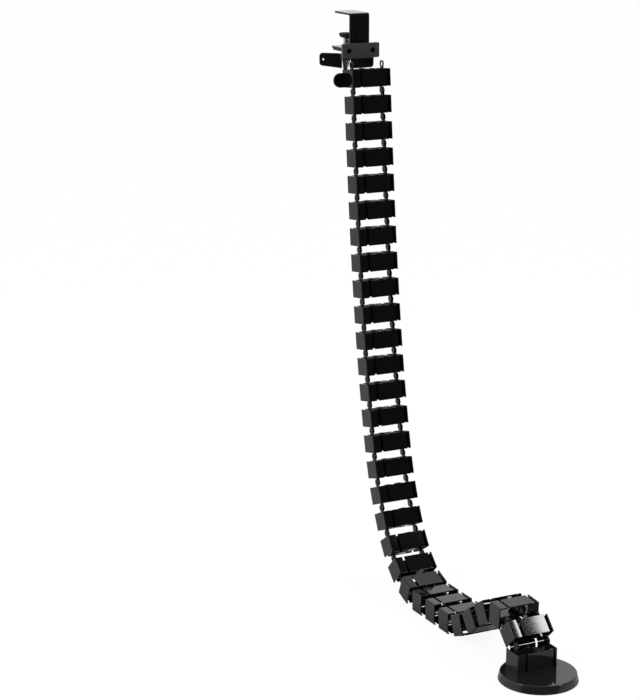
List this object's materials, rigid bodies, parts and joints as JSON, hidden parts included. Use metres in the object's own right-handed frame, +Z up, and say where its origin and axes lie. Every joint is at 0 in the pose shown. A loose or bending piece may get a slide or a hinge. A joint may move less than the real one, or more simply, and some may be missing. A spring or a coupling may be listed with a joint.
{
  "type": "cable spine",
  "caption": "Hanging chain of hollow plastic links on a desk-edge screw clamp, with a weighted round foot, that carries cables from a desk to the floor.",
  "frame": {"origin": "middle of the desk jaw's underside, where it lies on the desk top", "axes": "+Z up, +X to the right along the links' hinge axes seen from the front, -Y to the front, the way the chain sweeps"},
  "size_m": [0.1124, 0.6752, 0.8715],
  "materials": {
    "link_plastic": "gloss black moulded plastic",
    "black_steel": "gloss black powder coat",
    "grey_block": "satin grey",
    "zinc": "bright zinc plate",
    "dark_screws": "black oxide",
    "handle_plastic": "black moulded plastic",
    "weight_steel": "plain steel",
    "foot_rubber": "soft dark rubber"
  },
  "bodies": {
    "clamp": {"clamp_frame": "black_steel", "mounting_block": "grey_block", "block_screws": "dark_screws", "block_nuts": "zinc", "hanger_strap": "black_steel", "strap_bolt": "dark_screws", "strap_screws": "dark_screws", "link_01": "link_plastic"},
    "pad": {"pressure_pad": "handle_plastic"},
    "screw": {"clamp_screw": "zinc", "wing_handle": "handle_plastic"},
    "link_02_body": {"link_02": "link_plastic"},
    "link_03_body": {"link_03": "link_plastic"},
    "link_04_body": {"link_04": "link_plastic"},
    "link_05_body": {"link_05": "link_plastic"},
    "link_06_body": {"link_06": "link_plastic"},
    "link_07_body": {"link_07": "link_plastic"},
    "link_08_body": {"link_08": "link_plastic"},
    "link_09_body": {"link_09": "link_plastic"},
    "link_10_body": {"link_10": "link_plastic"},
    "link_11_body": {"link_11": "link_plastic"},
    "link_12_body": {"link_12": "link_plastic"},
    "link_13_body": {"link_13": "link_plastic"},
    "link_14_body": {"link_14": "link_plastic"},
    "link_15_body": {"link_15": "link_plastic"},
    "link_16_body": {"link_16": "link_plastic"},
    "link_17_body": {"link_17": "link_plastic"},
    "link_18_body": {"link_18": "link_plastic"},
    "link_19_body": {"link_19": "link_plastic"},
    "link_20_body": {"link_20": "link_plastic"},
    "link_21_body": {"link_21": "link_plastic"},
    "link_22_body": {"link_22": "link_plastic"},
    "link_23_body": {"link_23": "link_plastic"},
    "link_24_body": {"link_24": "link_plastic"},
    "link_25_body": {"link_25": "link_plastic"},
    "link_26_body": {"link_26": "link_plastic"},
    "link_27_body": {"link_27": "link_plastic"},
    "link_28_body": {"link_28": "link_plastic"},
    "link_29_body": {"link_29": "link_plastic"},
    "foot": {"base_holder": "link_plastic", "base_disc": "link_plastic", "base_weight": "weight_steel", "base_screws": "dark_screws", "foot_pad": "foot_rubber"}
  },
  "joints": [
    {"name": "pad_travel", "type": "slide", "parent": "clamp", "child": "pad", "axis": [0, 0, 1], "range_m": [-0.013, 0.002]},
    {"name": "screw_turn", "type": "hinge", "parent": "pad", "child": "screw", "pos_m": [0, 0.01525, -0.062], "axis": [0, 0, 1], "range_deg": [-3120, 480]},
    {"name": "hinge_01", "type": "hinge", "parent": "clamp", "child": "link_02_body", "pos_m": [0, -0.05524, -0.11185], "axis": [1, 0, 0], "range_deg": [-45.06, 45.14]},
    {"name": "hinge_02", "type": "hinge", "parent": "link_02_body", "child": "link_03_body", "pos_m": [0, -0.05875, -0.15169], "axis": [-1, 0, 0], "range_deg": [-45.22, 44.98]},
    {"name": "hinge_03", "type": "hinge", "parent": "link_03_body", "child": "link_04_body", "pos_m": [0, -0.06235, -0.19153], "axis": [1, 0, 0], "range_deg": [-44.9, 45.3]},
    {"name": "hinge_04", "type": "hinge", "parent": "link_04_body", "child": "link_05_body", "pos_m": [0, -0.06608, -0.23136], "axis": [-1, 0, 0], "range_deg": [-45.38, 44.82]},
    {"name": "hinge_05", "type": "hinge", "parent": "link_05_body", "child": "link_06_body", "pos_m": [0, -0.07001, -0.27116], "axis": [1, 0, 0], "range_deg": [-44.74, 45.46]},
    {"name": "hinge_06", "type": "hinge", "parent": "link_06_body", "child": "link_07_body", "pos_m": [0, -0.0742, -0.31094], "axis": [-1, 0, 0], "range_deg": [-45.54, 44.66]},
    {"name": "hinge_07", "type": "hinge", "parent": "link_07_body", "child": "link_08_body", "pos_m": [0, -0.07868, -0.35069], "axis": [1, 0, 0], "range_deg": [-44.58, 45.62]},
    {"name": "hinge_08", "type": "hinge", "parent": "link_08_body", "child": "link_09_body", "pos_m": [0, -0.08353, -0.3904], "axis": [-1, 0, 0], "range_deg": [-45.7, 44.5]},
    {"name": "hinge_09", "type": "hinge", "parent": "link_09_body", "child": "link_10_body", "pos_m": [0, -0.08879, -0.43005], "axis": [1, 0, 0], "range_deg": [-44.42, 45.78]},
    {"name": "hinge_10", "type": "hinge", "parent": "link_10_body", "child": "link_11_body", "pos_m": [0, -0.09452, -0.46964], "axis": [-1, 0, 0], "range_deg": [-45.86, 44.34]},
    {"name": "hinge_11", "type": "hinge", "parent": "link_11_body", "child": "link_12_body", "pos_m": [0, -0.10078, -0.50914], "axis": [1, 0, 0], "range_deg": [-44.26, 45.94]},
    {"name": "hinge_12", "type": "hinge", "parent": "link_12_body", "child": "link_13_body", "pos_m": [0, -0.10762, -0.54856], "axis": [-1, 0, 0], "range_deg": [-46.02, 44.18]},
    {"name": "hinge_13", "type": "hinge", "parent": "link_13_body", "child": "link_14_body", "pos_m": [0, -0.11509, -0.58785], "axis": [1, 0, 0], "range_deg": [-44.1, 46.1]},
    {"name": "hinge_14", "type": "hinge", "parent": "link_14_body", "child": "link_15_body", "pos_m": [0, -0.12324, -0.62701], "axis": [-1, 0, 0], "range_deg": [-46.18, 44.02]},
    {"name": "hinge_15", "type": "hinge", "parent": "link_15_body", "child": "link_16_body", "pos_m": [0, -0.13213, -0.66601], "axis": [1, 0, 0], "range_deg": [-41.94, 48.26]},
    {"name": "hinge_16", "type": "hinge", "parent": "link_16_body", "child": "link_17_body", "pos_m": [0, -0.14315, -0.70446], "axis": [-1, 0, 0], "range_deg": [-50.6, 39.6]},
    {"name": "hinge_17", "type": "hinge", "parent": "link_17_body", "child": "link_18_body", "pos_m": [0, -0.15781, -0.74168], "axis": [1, 0, 0], "range_deg": [-40.6, 49.6]},
    {"name": "hinge_18", "type": "hinge", "parent": "link_18_body", "child": "link_19_body", "pos_m": [0, -0.17535, -0.77763], "axis": [-1, 0, 0], "range_deg": [-52.6, 37.6]},
    {"name": "hinge_19", "type": "hinge", "parent": "link_19_body", "child": "link_20_body", "pos_m": [0, -0.19743, -0.81099], "axis": [1, 0, 0], "range_deg": [-32.1, 58.1]},
    {"name": "hinge_20", "type": "hinge", "parent": "link_20_body", "child": "link_21_body", "pos_m": [0, -0.22644, -0.83852], "axis": [-1, 0, 0], "range_deg": [-68.1, 22.1]},
    {"name": "hinge_21", "type": "hinge", "parent": "link_21_body", "child": "link_22_body", "pos_m": [0, -0.26391, -0.85253], "axis": [1, 0, 0], "range_deg": [-24.6, 65.6]},
    {"name": "hinge_22", "type": "hinge", "parent": "link_22_body", "child": "link_23_body", "pos_m": [0, -0.30391, -0.85253], "axis": [-1, 0, 0], "range_deg": [-45.1, 45.1]},
    {"name": "hinge_23", "type": "hinge", "parent": "link_23_body", "child": "link_24_body", "pos_m": [0, -0.34391, -0.85253], "axis": [1, 0, 0], "range_deg": [-45.1, 45.1]},
    {"name": "hinge_24", "type": "hinge", "parent": "link_24_body", "child": "link_25_body", "pos_m": [0, -0.38391, -0.85253], "axis": [-1, 0, 0], "range_deg": [-67.1, 23.1]},
    {"name": "hinge_25", "type": "hinge", "parent": "link_25_body", "child": "link_26_body", "pos_m": [0, -0.421, -0.83754], "axis": [1, 0, 0], "range_deg": [-28.1, 62.1]},
    {"name": "hinge_26", "type": "hinge", "parent": "link_26_body", "child": "link_27_body", "pos_m": [0, -0.45208, -0.81237], "axis": [-1, 0, 0], "range_deg": [-37.6, 52.6]},
    {"name": "hinge_27", "type": "hinge", "parent": "link_27_body", "child": "link_28_body", "pos_m": [0, -0.48619, -0.79147], "axis": [1, 0, 0], "range_deg": [-80.2, 10]},
    {"name": "hinge_28", "type": "hinge", "parent": "link_28_body", "child": "link_29_body", "pos_m": [0, -0.52611, -0.79398], "axis": [-1, 0, 0], "range_deg": [-3.68, 86.52]},
    {"name": "hinge_29", "type": "hinge", "parent": "link_29_body", "child": "foot", "pos_m": [0, -0.55438, -0.82228], "axis": [1, 0, 0], "range_deg": [-90.08, 0.12]}
  ],
  "couplings": [
    {"joint": "screw_turn", "follows": "pad_travel", "rad_per_m": 4188.8}
  ]
}
